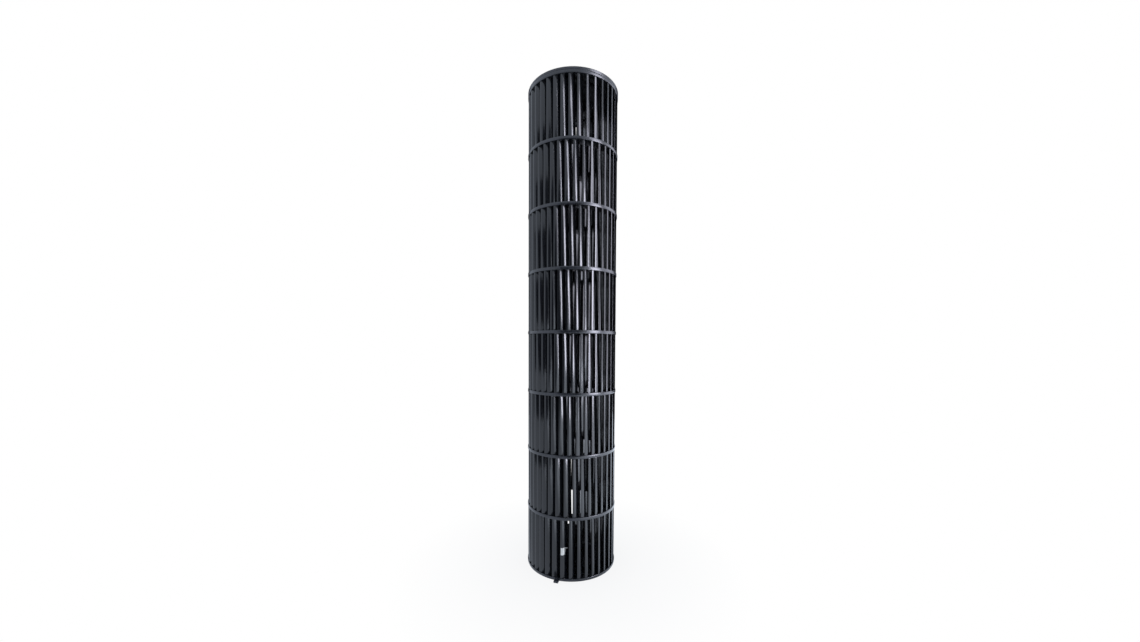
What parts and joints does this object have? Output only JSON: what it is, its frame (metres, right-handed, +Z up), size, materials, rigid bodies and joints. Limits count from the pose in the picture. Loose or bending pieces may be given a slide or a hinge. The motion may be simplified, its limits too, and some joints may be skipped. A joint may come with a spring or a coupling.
{
  "type": "cross flow fan wheel",
  "caption": "Long cylindrical blower wheel of curved blades between welded rings, with a shaft hub in one end disc and a stub shaft on the other.",
  "frame": {"origin": "centre of the drive end disc's lower face, on the wheel's axis", "axes": "+Z up the wheel's axis from the drive end to the idle end; -Y towards the pictured side, with +X to its right"},
  "size_m": [0.0926, 0.0955, 0.501],
  "materials": {
    "moulded_plastic": "semi-gloss glass-filled moulding",
    "rubber": "matt",
    "blackened_steel": "black oxide, turned",
    "zinc_plated_steel": "bright zinc plating",
    "ground_steel": "ground",
    "spring_steel": "bright nickel plating"
  },
  "bodies": {
    "root": {"drive_end_disc": "moulded_plastic", "damping_rubber": "rubber", "shaft_hub": "blackened_steel", "set_screw": "zinc_plated_steel", "blade_segment_1": "moulded_plastic", "blade_segment_2": "moulded_plastic", "blade_segment_3": "moulded_plastic", "blade_segment_4": "moulded_plastic", "blade_segment_5": "moulded_plastic", "blade_segment_6": "moulded_plastic", "blade_segment_7": "moulded_plastic", "blade_segment_8": "moulded_plastic", "idle_end_disc": "moulded_plastic", "stub_shaft": "ground_steel", "balance_clip": "spring_steel"}
  },
  "joints": []
}
